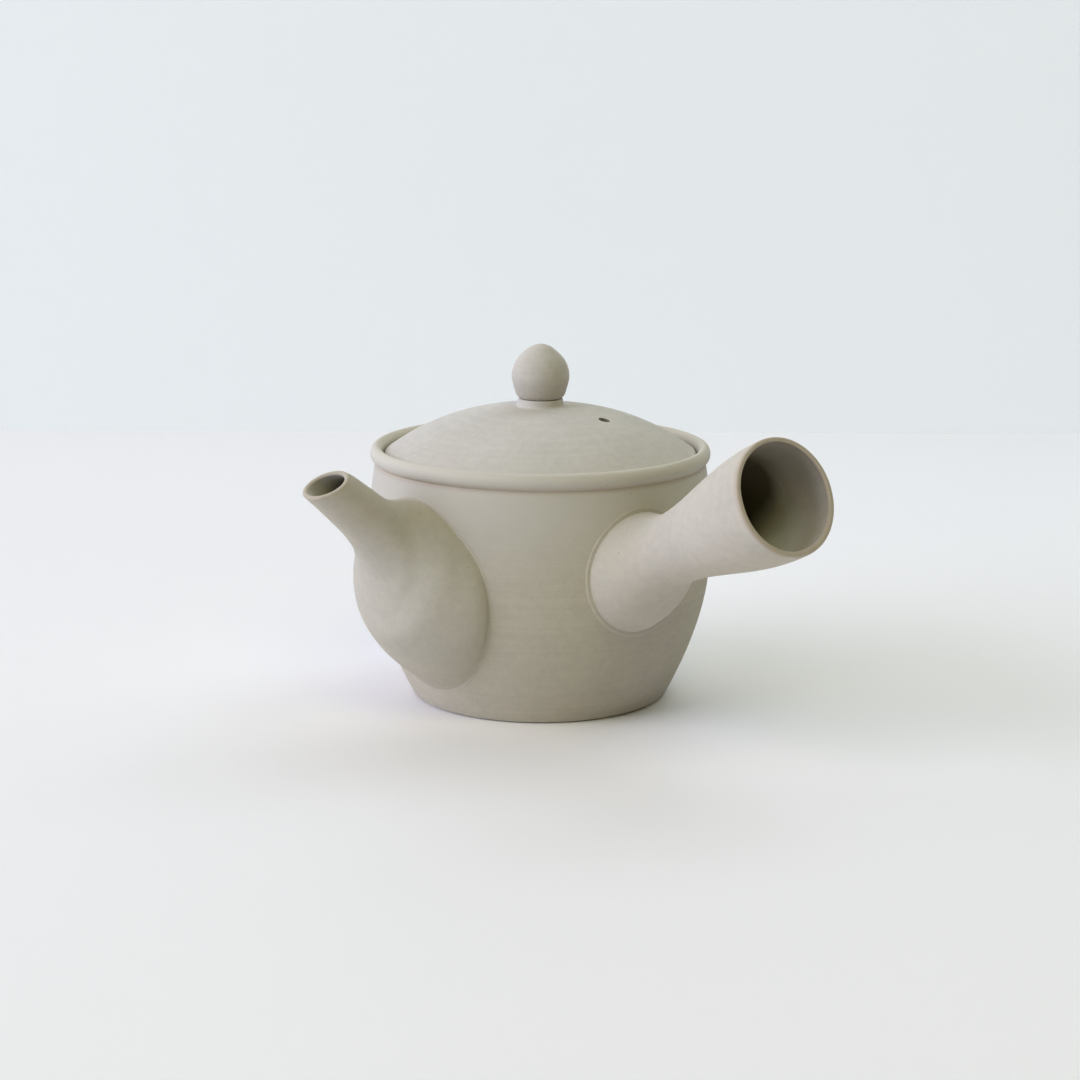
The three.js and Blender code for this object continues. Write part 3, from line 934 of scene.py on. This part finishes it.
scene = bpy.context.scene
camera_data = bpy.data.cameras.new("camera")
camera_data.lens = LENS
camera_data.sensor_width = 36
camera_data.clip_start = 0.01
camera = bpy.data.objects.new("camera", camera_data)
scene.collection.objects.link(camera)
camera.matrix_world = (
    Matrix.Translation(from_camera(0, -CAMERA_AWAY, CAMERA_UP))
    @ Matrix.Rotation(math.radians(VIEW_ANGLE), 4, "Z")
    @ Matrix.Rotation(math.radians(90 - CAMERA_PITCH), 4, "X")
    @ Matrix.Rotation(math.radians(CAMERA_ROLL), 4, "Z")
)
scene.camera = camera

# Table and wall
STAGE_HALF = 1.6
WALL_BEHIND = 0.43
WALL_HALF = 3
WALL_TOP = 3
WALL_FOOT = -0.001
OWN_LIGHT = 0.92


def panel(name, corners, colour, own_light=0.0):
    """A flat, pale surface that is seen from its front only. Own light takes the place of some of the
    light that falls on it, so that it shows evenly."""
    mesh = bpy.data.meshes.new(name)
    mesh.from_pydata(corners, [], [(0, 1, 2, 3)])
    obj = bpy.data.objects.new(name, mesh)
    scene.collection.objects.link(obj)
    f = Finish(name)
    cloud = f.noise(3, detail=2)
    lighter = tuple(min(1, c * 1.02) for c in colour[:3]) + (1,)
    tone = f.mix(cloud, colour, lighter)
    lit = f.mix(own_light, tone, (0, 0, 0, 1))
    front = f.node(
        "ShaderNodeBsdfPrincipled", {}, Base_Color=lit, Roughness=0.5 + cloud * 0.1,
        Specular_IOR_Level=0.4, Emission_Color=tone, Emission_Strength=own_light * OWN_LIGHT,
    )
    behind = f.node("ShaderNodeNewGeometry", {}, output="Backfacing")
    clear = f.node("ShaderNodeBsdfTransparent", {})
    f.node("ShaderNodeOutputMaterial", {}, f.node("ShaderNodeMixShader", {}, behind, front, clear))
    mesh.materials.append(f.material)


table = [(x * STAGE_HALF, y * STAGE_HALF, 0) for x, y in ((-1, -1), (1, -1), (1, 1), (-1, 1))]
panel("table", table, linear(244, 241, 243))
panel("wall", [
    from_camera(-WALL_HALF, WALL_BEHIND, WALL_FOOT), from_camera(WALL_HALF, WALL_BEHIND, WALL_FOOT),
    from_camera(WALL_HALF, WALL_BEHIND, WALL_TOP), from_camera(-WALL_HALF, WALL_BEHIND, WALL_TOP),
], linear(242, 246, 249), 0.5)


def lamp(name, where, size, watts, colour):
    """A lamp that faces the middle of the pot. Where is as from_camera takes it."""
    pot_middle = Vector((0, 0, 0.04))
    data = bpy.data.lights.new(name, "AREA")
    data.shape = "RECTANGLE"
    data.size = size[0]
    data.size_y = size[1]
    data.energy = watts
    data.color = colour
    obj = bpy.data.objects.new(name, data)
    scene.collection.objects.link(obj)
    obj.location = from_camera(*where)
    obj.rotation_euler = (pot_middle - obj.location).to_track_quat("-Z", "Y").to_euler()


# A wide window on the left, seen as two panes and the sky above them, a warm lamp up on the right,
# and light off the ceiling behind
lamp("window_left", (-2.225, 0.0, 0.939), (1.2, 1.2), 22.3, (0.83, 0.83, 1.0))
lamp("window_front", (-1.928, -1.113, 0.939), (1.2, 1.2), 22.5, (0.72, 0.81, 1.0))
lamp("window_sky", (-1.09, -1.09, 1.879), (1.35, 1.35), 11.3, (1.0, 0.96, 0.96))
lamp("warm_right", (0.528, -1.449, 1.879), (1.35, 1.35), 12.6, (1.0, 1.0, 0.5))
lamp("ceiling_behind", (0.231, 0.40, 0.568), (0.6, 0.4), 1.6, (0.74, 0.87, 1.0))

# The room is dim, and plain and pale where it is looked at
world = bpy.data.worlds.new("room")
world.use_nodes = True
world.node_tree.nodes.clear()
room = Board(world.node_tree)
looked_at = room.node("ShaderNodeLightPath", {}, output="Is Camera Ray")
seen = room.mix(looked_at, (0.01, 0.01, 0.008, 1), linear(232, 236, 239))
room.node("ShaderNodeOutputWorld", {}, room.node("ShaderNodeBackground", {}, seen, 1.0))
scene.world = world
scene.view_settings.view_transform = "Standard"
